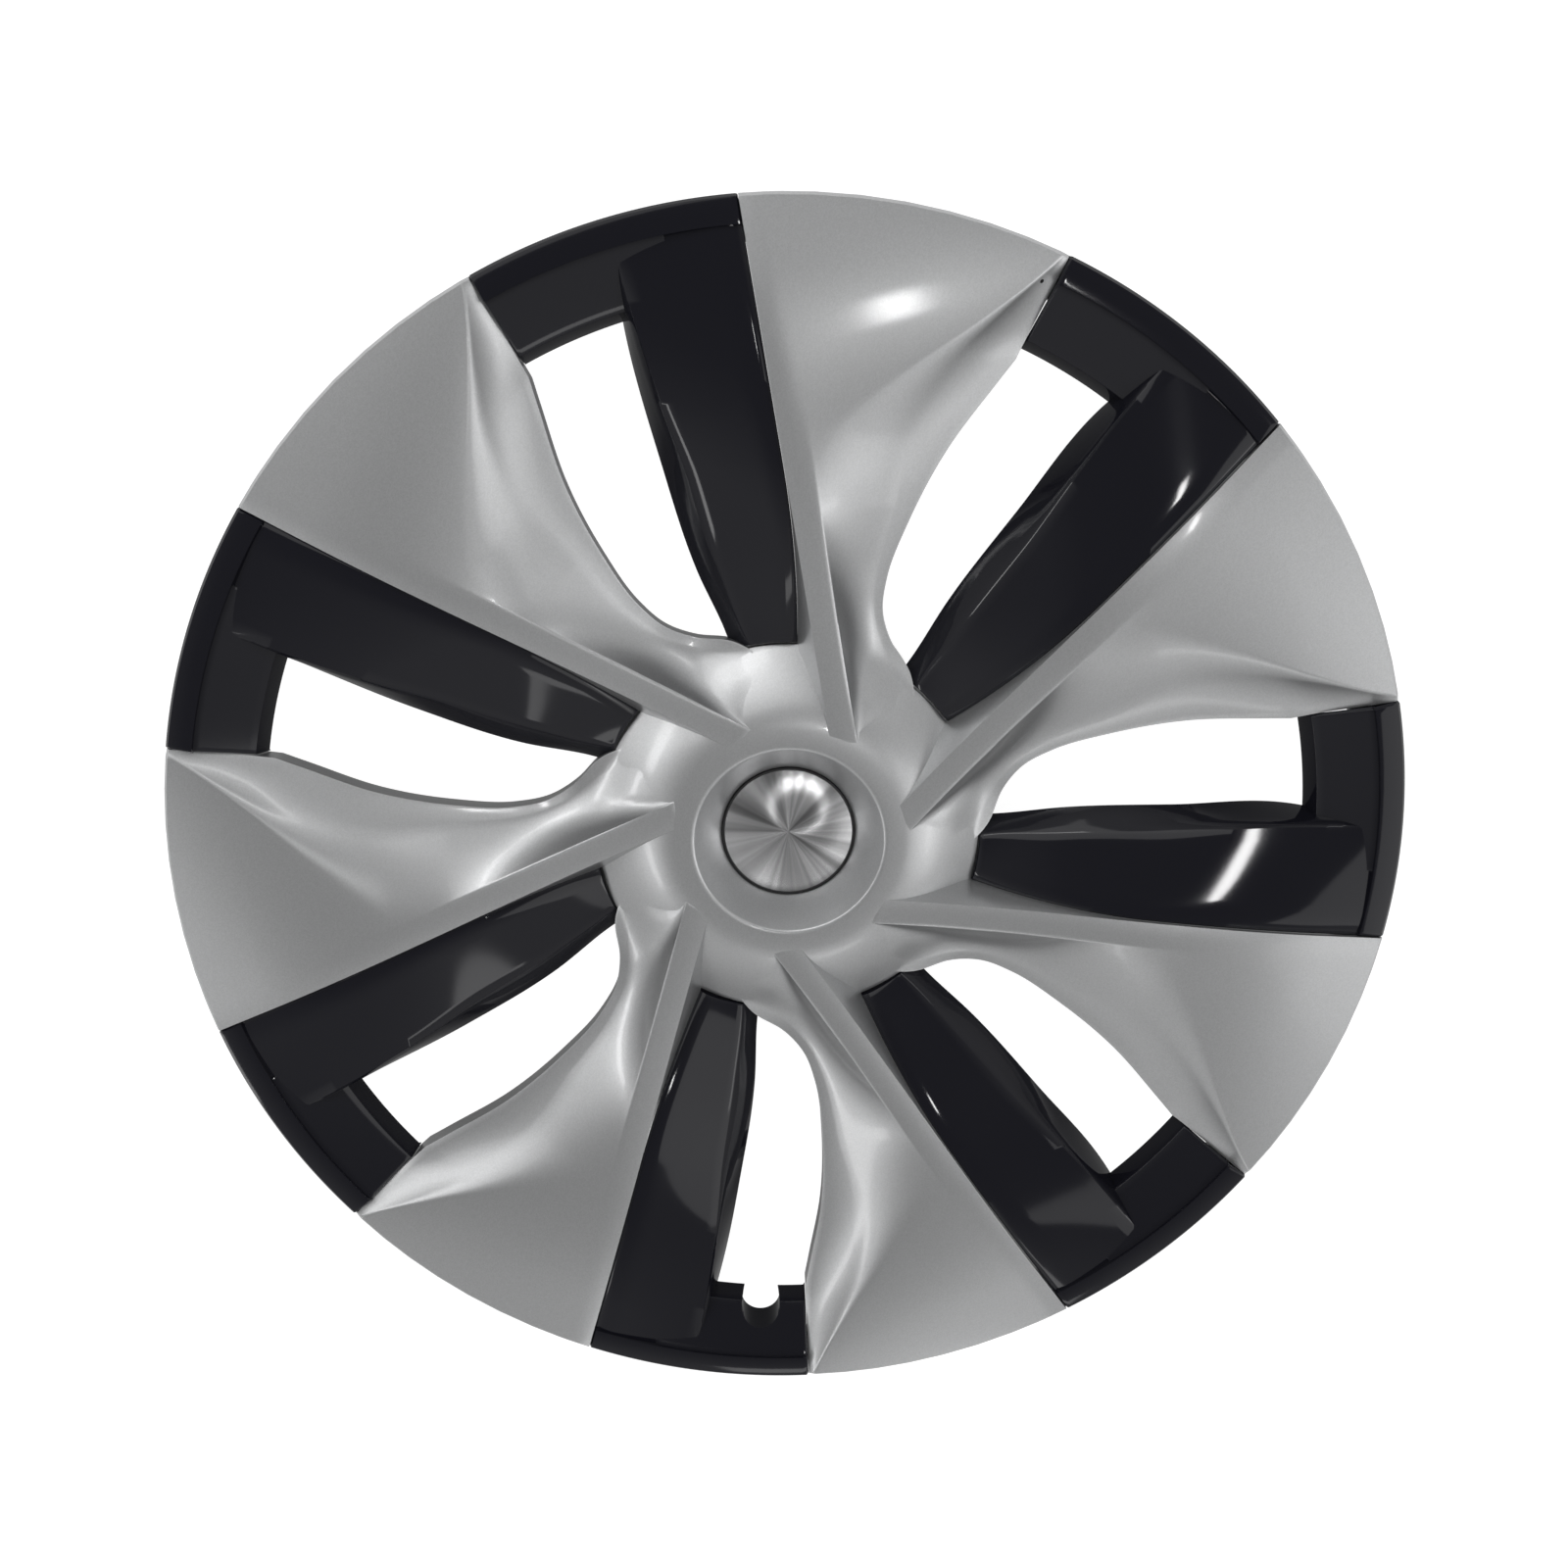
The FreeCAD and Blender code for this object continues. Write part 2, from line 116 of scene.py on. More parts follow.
INSERT_BACK: tuple[Row, ...] = (
    (70.0, -21.0, 42.0), (84.0, -25.6, 38.8), (108.5, -36.0, 31.6), (149.4, -48.4, 24.6),
    (197.6, -60.4, 20.5), (222.0, -62.6, 6.0), (262.0, -69.2, 5.0))


def smooth_through(rows: Sequence[Row], column: int) -> Curve:
    """Smooth function through a short guide list.

    Args:
        rows: Guide rows, the first number being the distance from the axis.
        column: Which number of a row the function gives.

    Returns:
        A function of the distance from the axis.
    """
    ts = np.array([row[0] for row in rows])
    vs = np.array([row[column] for row in rows])
    steps = np.diff(vs) / np.diff(ts)
    gaps = np.diff(ts)
    slopes = np.empty(len(ts))
    slopes[0], slopes[-1] = steps[0], steps[-1]
    slopes[1:-1] = (steps[:-1] * gaps[1:] + steps[1:] * gaps[:-1]) / (gaps[1:] + gaps[:-1])

    def value(t: float) -> float:
        """Value at one distance.

        Args:
            t: Distance from the axis.

        Returns:
            The value.
        """
        if t <= ts[0]:
            return float(vs[0] + slopes[0] * (t - ts[0]))
        if t >= ts[-1]:
            return float(vs[-1] + slopes[-1] * (t - ts[-1]))
        i = int(np.searchsorted(ts, t, side="right") - 1)
        span = gaps[i]
        u = (t - ts[i]) / span
        start = (1 + 2 * u) * (1 - u) ** 2 * vs[i] + u * (1 - u) ** 2 * span * slopes[i]
        end = u * u * (3 - 2 * u) * vs[i + 1] + u * u * (u - 1) * span * slopes[i + 1]
        return float(start + end)

    return value


vent_x = smooth_through(VENT_EDGE, 1)
vent_depth = smooth_through(VENT_EDGE, 2)
fold_offset = smooth_through(FOLD_LINE, 1)
fold_depth = smooth_through(FOLD_LINE, 2)
front_x = smooth_through(INSERT_FRONT, 1)
front_depth = smooth_through(INSERT_FRONT, 2)
back_x = smooth_through(INSERT_BACK, 1)
back_depth = smooth_through(INSERT_BACK, 2)


def strip_left(y: float) -> float:
    """Offset of the strip's edge beside the insert.

    Args:
        y: Distance from the axis in millimetres.

    Returns:
        The offset across the sector.
    """
    return SIZES.strip_tip[0] - SIZES.strip_slant * (y - SIZES.strip_tip[1])


def strip_depth(y: float) -> float:
    """Depth of the strip: half a cosine wave from hub to rim, sunk into the dome at its root.

    Args:
        y: Distance from the axis.

    Returns:
        The depth below the rim plane.
    """
    low, high = SIZES.strip_rise
    s = min(max((y - low) / (high - low), 0.0), 1.0)
    root = min(max((y - low) / SIZES.strip_root_length, 0.0), 1.0)
    return SIZES.ring_depth * (1 + math.cos(math.pi * s)) / 2 + SIZES.strip_root_sink * (1 - root) ** 2


def wall_drop(y: float) -> float:
    """Height of the silver wall between strip and insert.

    Args:
        y: Distance from the axis.

    Returns:
        The drop from strip to insert.
    """
    u = min(max((y - SIZES.hub_edge_radius) / (SIZES.wall_end - SIZES.hub_edge_radius), 0.0), 1.0)
    return SIZES.insert_step + SIZES.wall_drop * (1 - u) ** 2


def seam_x(y: float) -> float:
    """Offset of the seam between blade and insert.

    Args:
        y: Distance from the axis.

    Returns:
        The offset across the sector.
    """
    return strip_left(y) - SIZES.wall_lean * (wall_drop(y) - SIZES.insert_step)


def seam_depth(y: float) -> float:
    """Depth of the insert's face along the seam.

    Args:
        y: Distance from the axis.

    Returns:
        The depth below the rim plane.
    """
    return strip_depth(y) + wall_drop(y)


def fold_x(y: float) -> float:
    """Offset of the fold line.

    Args:
        y: Distance from the axis.

    Returns:
        The offset across the sector.
    """
    return strip_left(y) + SIZES.strip_width + fold_offset(y)


def edge_x(y: float) -> float:
    """Offset of the blade's edge: along the vent, then along the radial seam.

    Args:
        y: Distance from the axis.

    Returns:
        The offset across the sector.
    """
    slope = math.tan(math.radians(SIZES.arm_seam_angle - SIZES.pitch - 90.0))
    return min(vent_x(y), -slope * y) if y > 185.0 else vent_x(y)


def dome_depth(radius: float) -> float:
    """Depth of the hub's dome, carried on past its edge.

    Args:
        radius: Distance from the axis.

    Returns:
        The depth below the rim plane.
    """
    fall = SIZES.hub_edge_depth - SIZES.dome_start[1]
    u = max((radius - SIZES.dome_start[0]) / (SIZES.hub_edge_radius - SIZES.dome_start[0]), 0.0)
    ease = u * u * (1.6 - 0.6 * u) if u <= 1.0 else 1.0 + 1.4 * (u - 1.0)
    return SIZES.dome_start[1] + fall * ease


@dataclass(frozen=True)
class Finish:
    """A procedural surface finish."""

    name: str
    color: tuple[float, float, float]
    metallic: float = 0.0
    roughness: float = 0.4
    coat: float = 0.0
    coat_roughness: float = 0.05
    flake: float = 0.0
    flake_scale: float = 2500.0
    anisotropy: float = 0.0
    glow: float = 0.0
    gloss: float = 0.5
    speck: tuple[float, float, float, float] | None = None

    def build(self) -> bpy.types.Material:
        """Makes the material.

        Returns:
            The new material.
        """
        material = bpy.data.materials.new(self.name)
        material.use_nodes = True
        tree = material.node_tree
        shader = tree.nodes["Principled BSDF"]
        shader.inputs["Base Color"].default_value = (*self.color, 1.0)
        shader.inputs["Metallic"].default_value = self.metallic
        shader.inputs["Roughness"].default_value = self.roughness
        shader.inputs["Coat Weight"].default_value = self.coat
        shader.inputs["Coat Roughness"].default_value = self.coat_roughness
        shader.inputs["Specular IOR Level"].default_value = self.gloss
        place = tree.nodes.new("ShaderNodeTexCoord")
        if self.glow > 0.0:
            self._add_glow(tree, shader, place)
        if self.flake > 0.0:
            self._add_flakes(tree, shader, place)
        if self.anisotropy > 0.0:
            self._add_spin_and_painted_sheen(tree, shader, place)
        if self.speck is not None:
            self._add_speck(tree, shader, place)
        return material

    def _add_glow(self, tree: bpy.types.NodeTree, shader: bpy.types.Node, place: bpy.types.Node) -> None:
        """Makes a backdrop pale to the eye, and in reflections with a painted shadow of the object, where its
        glow is dimmed near the axis.

        Args:
            tree: Node tree of the material.
            shader: Its surface shader.
            place: Texture coordinates.
        """
        path = tree.nodes.new("ShaderNodeLightPath")
        reach = tree.nodes.new("ShaderNodeVectorMath")
        reach.operation = "LENGTH"
        tree.links.new(place.outputs["Object"], reach.inputs[0])
        # Painted shadow: the glow that reflections see is dimmed to a tenth within 0.2 m of the axis, back to
        # full at 0.5 m.
        painted_floor_shadow = tree.nodes.new("ShaderNodeMapRange")
        for name, value in (("From Min", 0.2), ("From Max", 0.5), ("To Min", 0.1), ("To Max", 1.0)):
            painted_floor_shadow.inputs[name].default_value = value
        tree.links.new(reach.outputs["Value"], painted_floor_shadow.inputs["Value"])
        seen = path.outputs["Is Glossy Ray"]
        for operation, other in (("MAXIMUM", path.outputs["Is Transmission Ray"]),
                                 ("MULTIPLY", painted_floor_shadow.outputs["Result"]),
                                 ("MAXIMUM", path.outputs["Is Camera Ray"])):
            step = tree.nodes.new("ShaderNodeMath")
            step.operation = operation
            tree.links.new(seen, step.inputs[0])
            tree.links.new(other, step.inputs[1])
            seen = step.outputs["Value"]
        level = tree.nodes.new("ShaderNodeMath")
        level.operation = "MULTIPLY"
        level.inputs[1].default_value = self.glow
        tree.links.new(seen, level.inputs[0])
        shader.inputs["Emission Color"].default_value = (1.0, 1.0, 1.0, 1.0)
        tree.links.new(level.outputs["Value"], shader.inputs["Emission Strength"])

    def _add_flakes(self, tree: bpy.types.NodeTree, shader: bpy.types.Node, place: bpy.types.Node) -> None:
        """Varies the paint by fine metal flakes.

        Args:
            tree: Node tree of the material.
            shader: Its surface shader.
            place: Texture coordinates.
        """
        cells = tree.nodes.new("ShaderNodeTexVoronoi")
        cells.inputs["Scale"].default_value = self.flake_scale
        tree.links.new(place.outputs["Object"], cells.inputs["Vector"])
        ramp = tree.nodes.new("ShaderNodeMapRange")
        ramp.inputs["To Min"].default_value = 1.0 - self.flake
        ramp.inputs["To Max"].default_value = 1.0 + self.flake
        tree.links.new(cells.outputs["Color"], ramp.inputs["Value"])
        tint = tree.nodes.new("ShaderNodeVectorMath")
        tint.operation = "SCALE"
        tint.inputs[0].default_value = self.color
        tree.links.new(ramp.outputs["Result"], tint.inputs["Scale"])
        tree.links.new(tint.outputs["Vector"], shader.inputs["Base Color"])

    def _add_speck(self, tree: bpy.types.NodeTree, shader: bpy.types.Node, place: bpy.types.Node) -> None:
        """Leaves one small dark speck on the paint.

        Args:
            tree: Node tree of the material.
            shader: Its surface shader.
            place: Texture coordinates.
        """
        away = tree.nodes.new("ShaderNodeVectorMath")
        away.operation = "DISTANCE"
        away.inputs[1].default_value = self.speck[:3]
        tree.links.new(place.outputs["Object"], away.inputs[0])
        outside = tree.nodes.new("ShaderNodeMath")
        outside.operation = "GREATER_THAN"
        outside.inputs[1].default_value = self.speck[3]
        tree.links.new(away.outputs["Value"], outside.inputs[0])
        kept = tree.nodes.new("ShaderNodeVectorMath")
        kept.operation = "SCALE"
        tree.links.new(shader.inputs["Base Color"].links[0].from_socket, kept.inputs[0])
        tree.links.new(outside.outputs["Value"], kept.inputs["Scale"])
        tree.links.new(kept.outputs["Vector"], shader.inputs["Base Color"])

    def _add_spin_and_painted_sheen(self, tree: bpy.types.NodeTree, shader: bpy.types.Node, place: bpy.types.Node) -> None:
        """Adds the turned sheen of a spun disc: a real anisotropic sheen and fine turned grooves, and a
        painted sheen of light and dark rays in the base colour.

        Args:
            tree: Node tree of the material.
            shader: Its surface shader.
            place: Texture coordinates.
        """
        shader.inputs["Anisotropic"].default_value = self.anisotropy
        # Painted sheen: the base colour is lightened and darkened in rays by angle around the disc, standing
        # in for its highlights.
        around = tree.nodes.new("ShaderNodeTexGradient")
        around.gradient_type = "RADIAL"
        tree.links.new(place.outputs["Object"], around.inputs["Vector"])
        painted_sheen_rays = tree.nodes.new("ShaderNodeTexNoise")
        painted_sheen_rays.noise_dimensions = "1D"
        painted_sheen_rays.inputs["Scale"].default_value = 9.0
        painted_sheen_rays.inputs["Detail"].default_value = 3.0
        painted_sheen_rays.inputs["Roughness"].default_value = 0.6
        tree.links.new(around.outputs["Fac"], painted_sheen_rays.inputs["W"])
        span = tree.nodes.new("ShaderNodeMapRange")
        span.inputs["From Min"].default_value = 0.34
        span.inputs["From Max"].default_value = 0.68
        span.inputs["To Min"].default_value = 0.28
        span.inputs["To Max"].default_value = 1.0
        tree.links.new(painted_sheen_rays.outputs["Fac"], span.inputs["Value"])
        tint = tree.nodes.new("ShaderNodeVectorMath")
        tint.operation = "SCALE"
        tint.inputs[0].default_value = self.color
        tree.links.new(span.outputs["Result"], tint.inputs["Scale"])
        tree.links.new(tint.outputs["Vector"], shader.inputs["Base Color"])
        tangent = tree.nodes.new("ShaderNodeTangent")
        tangent.direction_type = "RADIAL"
        tangent.axis = "Z"
        tree.links.new(tangent.outputs["Tangent"], shader.inputs["Tangent"])
        length = tree.nodes.new("ShaderNodeVectorMath")
        length.operation = "LENGTH"
        tree.links.new(place.outputs["Object"], length.inputs[0])
        grooves = tree.nodes.new("ShaderNodeTexNoise")
        grooves.noise_dimensions = "1D"
        grooves.inputs["Scale"].default_value = 2600.0
        tree.links.new(length.outputs["Value"], grooves.inputs["W"])
        bump = tree.nodes.new("ShaderNodeBump")
        bump.inputs["Strength"].default_value = 0.02
        bump.inputs["Distance"].default_value = 0.0002
        tree.links.new(grooves.outputs["Fac"], bump.inputs["Height"])
        tree.links.new(bump.outputs["Normal"], shader.inputs["Normal"])


FINISHES: dict[Slot, Finish] = {
    Slot.SILVER: Finish("silver_paint", (0.50, 0.505, 0.51), 0.80, 0.36, 0.6, 0.09, flake=0.08,
                        speck=(0.0880, 0.2119, 0.0501, 0.0010)),
    Slot.BLACK: Finish("black_gloss", (0.008, 0.008, 0.012), 0.0, 0.07, gloss=0.36),
    Slot.SATIN: Finish("black_satin", (0.012, 0.012, 0.013), 0.0, 0.5),
    # The spun disc's base colour carries a painted sheen of light and dark rays.
    Slot.DISC: Finish("spun_disc", (0.86, 0.86, 0.87), 1.0, 0.24, anisotropy=0.95),
    Slot.STEEL: Finish("spring_steel", (0.45, 0.45, 0.46), 1.0, 0.35),
}


class Shop:
    """Materials made once and shared by the pieces."""

    def __init__(self) -> None:
        """Builds every finish."""
        self.materials: dict[Slot, bpy.types.Material] = {
            slot: finish.build() for slot, finish in FINISHES.items()}

    def place(self, piece: bpy.types.Object, slot: Slot, nodes: Sequence[str]) -> None:
        """Gives a piece its finish and its place in the frame.

        Args:
            piece: The finished mesh object.
            slot: Its material slot.
            nodes: CAD nodes that it stands for.
        """
        piece.data.materials.clear()
        piece.data.materials.append(self.materials[slot])
        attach(piece, "root")
        if nodes:
            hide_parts(*nodes)
        LOG.info("piece %s: %d triangles", piece.name, sum(len(p.vertices) - 2 for p in piece.data.polygons))


def to_row(x: float, y: float, depth: float) -> Point:
    """Point of the row's frame, in metres.

    Args:
        x: Offset across the sector in millimetres.
        y: Distance along the sector.
        depth: Depth below the rim plane.

    Returns:
        The point.
    """
    return (x / 1000.0, y / 1000.0, (SIZES.rim_plane - depth) / 1000.0)


def new_object(name: str, mesh: bpy.types.Mesh) -> bpy.types.Object:
    """Links a mesh to the scene.

    Args:
        name: Name of the object.
        mesh: Its mesh.

    Returns:
        The object, at the origin.
    """
    piece = bpy.data.objects.new(name, mesh)
    bpy.context.scene.collection.objects.link(piece)
    return piece


def grid_mesh(name: str, rows: Sequence[Sequence[Point]], closed: bool = False) -> bpy.types.Object:
    """Sheet of quads through rows of points.

    Args:
        name: Name of the object.
        rows: Rows of equal length, in metres.
        closed: True if the last row joins the first.

    Returns:
        The object.
    """
    width = len(rows[0])
    points = [p for row in rows for p in row]
    faces = []
    count = len(rows)
    for i in range(count if closed else count - 1):
        following = (i + 1) % count
        for j in range(width - 1):
            faces.append((i * width + j, i * width + j + 1, following * width + j + 1, following * width + j))
    mesh = bpy.data.meshes.new(name)
    mesh.from_pydata(points, [], faces)
    mesh.update()
    return new_object(name, mesh)


def bake(piece: bpy.types.Object) -> bpy.types.Object:
    """Turns a piece with modifiers into a plain mesh.

    Args:
        piece: Object whose modifiers are done.

    Returns:
        The same object with its final mesh.
    """
    graph = bpy.context.evaluated_depsgraph_get()
    graph.update()
    mesh = bpy.data.meshes.new_from_object(piece.evaluated_get(graph))
    piece.modifiers.clear()
    piece.data = mesh
    return piece


def smooth(piece: bpy.types.Object, angle: float = 32.0) -> None:
    """Shades a piece smooth, with sharp edges over an angle.

    Args:
        piece: The object.
        angle: The angle in degrees.
    """
    piece.data.shade_smooth()
    piece.data.set_sharp_from_angle(angle=math.radians(angle))


def face_up(piece: bpy.types.Object) -> None:
    """Turns an open sheet so that its faces look up on average.

    Args:
        piece: The sheet.
    """
    total = sum(p.normal.z * p.area for p in piece.data.polygons)
    if total < 0:
        piece.data.flip_normals()


def shell(piece: bpy.types.Object, wall: float, round_off: float, segments: int = 3,
          limit: float = 24.0) -> bpy.types.Object:
    """Gives an open sheet its wall and rounded edges.

    Args:
        piece: The sheet, facing up.
        wall: Thickness in millimetres, put behind the face.
        round_off: Radius of the rounded edges.
        segments: Steps round an edge.
        limit: Angle in degrees from which an edge is rounded.

    Returns:
        The object with its final mesh.
    """
    face_up(piece)
    thick = piece.modifiers.new("wall", "SOLIDIFY")
    thick.thickness = wall / 1000.0
    thick.offset = -1.0
    bevel = piece.modifiers.new("round", "BEVEL")
    bevel.width = round_off / 1000.0
    bevel.segments = segments
    bevel.limit_method = "ANGLE"
    bevel.angle_limit = math.radians(limit)
    bevel.use_clamp_overlap = True
    return bake(piece)


def revolve_rows(profile: Sequence[tuple[float, float]], start: Curve, end: float,
                 steps: int) -> list[list[Point]]:
    """Rows of a turned sheet.

    Args:
        profile: Points as radius and depth.
        start: Angle in degrees at which each radius starts.
        end: Angle at which all end.
        steps: Number of steps.

    Returns:
        Rows of points.
    """
    rows = []
    for i in range(steps + 1):
        row = []
        for radius, depth in profile:
            first = start(radius)
            angle = math.radians(first + (end - first) * i / steps)
            row.append(to_row(radius * math.cos(angle), radius * math.sin(angle), depth))
        rows.append(row)
    return rows


def join(name: str, pieces: Sequence[bpy.types.Object]) -> bpy.types.Object:
    """Joins mesh objects into one.

    Args:
        name: Name of the result.
        pieces: Objects at the origin.

    Returns:
        The joined object.
    """
    whole = bmesh.new()
    for piece in pieces:
        whole.from_mesh(piece.data)
    mesh = bpy.data.meshes.new(name)
    whole.to_mesh(mesh)
    whole.free()
    for piece in pieces:
        bpy.data.objects.remove(piece)
    return new_object(name, mesh)


def turned_copy(name: str, piece: bpy.types.Object, sector: int) -> bpy.types.Object:
    """Copy of a sector 0 piece at another sector, with the turn put into its mesh.

    Args:
        name: Name of the copy.
        piece: The piece in sector 0.
        sector: Which sector.

    Returns:
        The copy, unturned as an object.
    """
    mesh = piece.data.copy()
    mesh.transform(Matrix.Rotation(-math.radians(SIZES.pitch * sector), 4, "Z"))
    return new_object(name, mesh)


def lane_end(lane: Curve, radius: float) -> float:
    """Distance along the sector at which a lane meets a circle about the axis.

    Args:
        lane: Offset of the lane as a function of the distance.
        radius: Radius of the circle.

    Returns:
        The distance.
    """
    low, high = 0.2 * radius, radius
    for _ in range(40):
        middle = 0.5 * (low + high)
        if lane(middle) ** 2 + middle ** 2 < radius ** 2:
            low = middle
        else:
            high = middle
    return low


@dataclass
class BladeBuilder:
    """Makes the silver blades, hub and carrier ring."""

    stations: int = 110
    scoop_lanes: int = 7
    fold_lanes: int = 8
    facet_lanes: int = 7
    fold_range: tuple[float, float] = (150.0, 214.0)
    fold_reach: tuple[float, float] = (19.0, 1.2)
    strip_round: float = 1.4
    dome_blend: float = 6.0
    dome_fade: tuple[float, float, float] = (10.0, 18.0, 18.0)
    dome_from: float = 42.0
    dome_cover: float = 0.06
    root_from: float = 38.0
    wall_foot: float = 6.0
    wall_least: float = 2.5
    vent_foot: float = 8.5
    edge_margin: float = 1.5
    scoop_pull: tuple[float, float] = (0.45, 0.8)
    rim_round: float = 1.2
    post_at: Point = (0.035, 0.188, 0.0236)
    post_size: Point = (0.014, 0.007, 0.0453)
    wall: float = 2.4

    def lanes(self) -> list[Lane]:
        """Lanes of the blade's face, from the foot of its side wall to the foot of its vent wall.

        Returns:
            Pairs of functions that give offset and depth.
        """
        width = SIZES.strip_width
        lanes: list[Lane] = [
            (seam_x, lambda y: seam_depth(y) + self.wall_foot),
            (seam_x, lambda y: max(seam_depth(y), strip_depth(y) + self.wall_least)),
            (strip_left, strip_depth),
            (lambda y: strip_left(y) + width - self.strip_round, strip_depth),
            (lambda y: self._strip_corner(y)[0], lambda y: self._strip_corner(y)[1]),
        ]
        for i in range(1, self.facet_lanes + self.fold_lanes + self.scoop_lanes + 1):
            lanes.append((lambda y, i=i: self._face(y, i)[0], lambda y, i=i: self._blended(y, i)))
        lanes.append((edge_x, lambda y: vent_depth(y) + self.vent_foot))
        return lanes

    def _strip_corner(self, y: float) -> tuple[float, float]:
        """Middle of the rounded corner between strip and face.

        Args:
            y: Distance from the axis.

        Returns:
            Offset and depth.
        """
        corner = (strip_left(y) + SIZES.strip_width, strip_depth(y))
        beyond = self._face(y, 1)
        return (corner[0] + 0.25 * (beyond[0] - corner[0] - self.strip_round),
                corner[1] + 0.25 * (beyond[1] - corner[1]))

    def _fold_run(self, y: float) -> float:
        """Width of the facet, kept inside the blade's edge.

        Args:
            y: Distance from the axis.

        Returns:
            The width.
        """
        return min(fold_x(y), edge_x(y) - self.edge_margin) - strip_left(y) - SIZES.strip_width

    def _scoop(self, y: float, u: float) -> tuple[float, float]:
        """Point of the scoop between fold and edge.

        Args:
            y: Distance from the axis.
            u: 0 at the fold, 1 at the edge.

        Returns:
            Offset and depth.
        """
        start = strip_left(y) + SIZES.strip_width + self._fold_run(y)
        end = edge_x(y)
        first, last = fold_depth(y), vent_depth(y)
        across, down = self.scoop_pull
        control = (start + across * (end - start), first + down * (last - first))
        a, b, c = (1 - u) ** 2, 2 * u * (1 - u), u * u
        return a * start + b * control[0] + c * end, a * first + b * control[1] + c * last

    def _facet(self, y: float, u: float) -> tuple[float, float]:
        """Point of the facet between strip and fold.

        Args:
            y: Distance from the axis.
            u: 0 at the strip, 1 at the fold.

        Returns:
            Offset and depth.
        """
        run = strip_left(y) + SIZES.strip_width + u * self._fold_run(y)
        return run, strip_depth(y) + u * (fold_depth(y) - strip_depth(y))

    def _fold_reach(self, y: float) -> float:
        """How far the rounding of the fold reaches to each side: wide near the hub, narrow near the rim.

        Args:
            y: Distance from the axis.

        Returns:
            The reach in millimetres.
        """
        low, high = self.fold_range
        s = min(max((y - low) / (high - low), 0.0), 1.0)
        share = s * s * (3 - 2 * s)
        return self.fold_reach[0] + share * (self.fold_reach[1] - self.fold_reach[0])

    def _face(self, y: float, lane: int) -> tuple[float, float]:
        """Point of the face: a facet, a rounded fold and a scoop.

        Args:
            y: Distance from the axis.
            lane: Lane number, counted from the strip.

        Returns:
            Offset and depth.
        """
        reach = self._fold_reach(y)
        fold = self._facet(y, 1.0)
        near = math.hypot(self._fold_run(y), fold[1] - strip_depth(y))
        far = math.hypot(edge_x(y) - fold[0], vent_depth(y) - fold[1])
        before = 1.0 - min(reach / max(near, 0.1), 0.8)
        after = min(reach / max(far, 0.1), 0.7)
        if lane <= self.facet_lanes:
            return self._facet(y, before * lane / self.facet_lanes)
        if lane <= self.facet_lanes + self.fold_lanes:
            u = (lane - self.facet_lanes) / self.fold_lanes
            start, end = self._facet(y, before), self._scoop(y, after)
            a, b, c = (1 - u) ** 2, 2 * u * (1 - u), u * u
            return (a * start[0] + b * fold[0] + c * end[0], a * start[1] + b * fold[1] + c * end[1])
        u = (lane - self.facet_lanes - self.fold_lanes) / self.scoop_lanes
        return self._scoop(y, after + (1.0 - after) * u)

    def _blended(self, y: float, lane: int) -> float:
        """Depth of the face where it runs softly out of the hub's dome.

        Args:
            y: Distance from the axis.
            lane: Lane number, counted from the strip.

        Returns:
            The depth.
        """
        x, depth = self._face(y, lane)
        inside = (x - strip_left(y) - SIZES.strip_width, edge_x(y) - x, y - self.dome_from)
        share = max(min(run / fade for run, fade in zip(inside, self.dome_fade)), 0.0)
        soft = self.dome_blend * min(share, 1.0) ** 2 * (3.0 - 2.0 * min(share, 1.0))
        if soft <= 0.0:
            return depth
        dome = dome_depth(math.hypot(x, y)) + self.dome_cover
        gap = max(soft - abs(depth - dome), 0.0)
        return min(depth, dome) - gap * gap / (4.0 * soft)

    def blade(self) -> bpy.types.Object:
        """Shell of one blade with its rim skirt.

        Returns:
            The blade in sector 0.
        """
        lanes = self.lanes()
        ends = [lane_end(lane[0], SIZES.rim_radius - self.rim_round) for lane in lanes]
        rows: list[list[Point]] = []
        for i in range(self.stations + 1):
            t = i / self.stations
            row = []
            for (offset, depth), end in zip(lanes, ends):
                y = self.root_from + t * (end - self.root_from)
                sink = 0.6 if y < 40.0 else 0.0
                row.append(to_row(offset(y), y, depth(y) + sink))
            rows.append(row)
        for drop in (self.rim_round, SIZES.skirt_depth + 1.0):
            row = []
            for (offset, depth), end in zip(lanes, ends):
                angle = math.atan2(end, offset(end))
                low = max(drop, depth(end)) if drop > 2.0 else depth(end) + drop
                x, y = SIZES.rim_radius * math.cos(angle), SIZES.rim_radius * math.sin(angle)
                row.append(to_row(x, y, low))
            rows.append(row)
        return shell(grid_mesh("blade", rows), self.wall, 0.9, limit=50.0)

    def hub(self) -> bpy.types.Object:
        """Dished hub as a turned shell.

        Returns:
            The hub.
        """
        profile = [(23.0, 38.0), (SIZES.cap_radius + 0.5, 38.0), (SIZES.cap_radius + 0.5, 35.2)]
        profile += [(38.0, 21.6), (38.5, 20.95), (39.2, 20.6), (40.4, 20.5)]
        for i in range(19):
            radius = SIZES.dome_start[0] + (SIZES.hub_edge_radius - SIZES.dome_start[0]) * i / 18
            profile.append((radius, dome_depth(radius)))
        profile += [(SIZES.hub_edge_radius, 37.2), (82.0, 37.2), (82.0, 41.0)]
        rows = revolve_rows(profile, lambda radius: 0.0, 360.0, 180)[:-1]
        hub = grid_mesh("hub", rows, True)
        return shell(hub, 2.6, 0.35, 2)

    def carrier(self) -> bpy.types.Object:
        """Ring behind the rim.

        Returns:
            The ring.
        """
        outer, inner = SIZES.rim_radius, SIZES.rim_radius - SIZES.carrier_width
        front, back = SIZES.skirt_depth, SIZES.carrier_depth
        profile = [(inner, back), (inner, front), (outer, front), (outer, back), (inner, back)]
        rows = revolve_rows(profile, lambda radius: 0.0, 360.0, 240)[:-1]
        ring = grid_mesh("carrier", rows, True)
        return bake(ring)

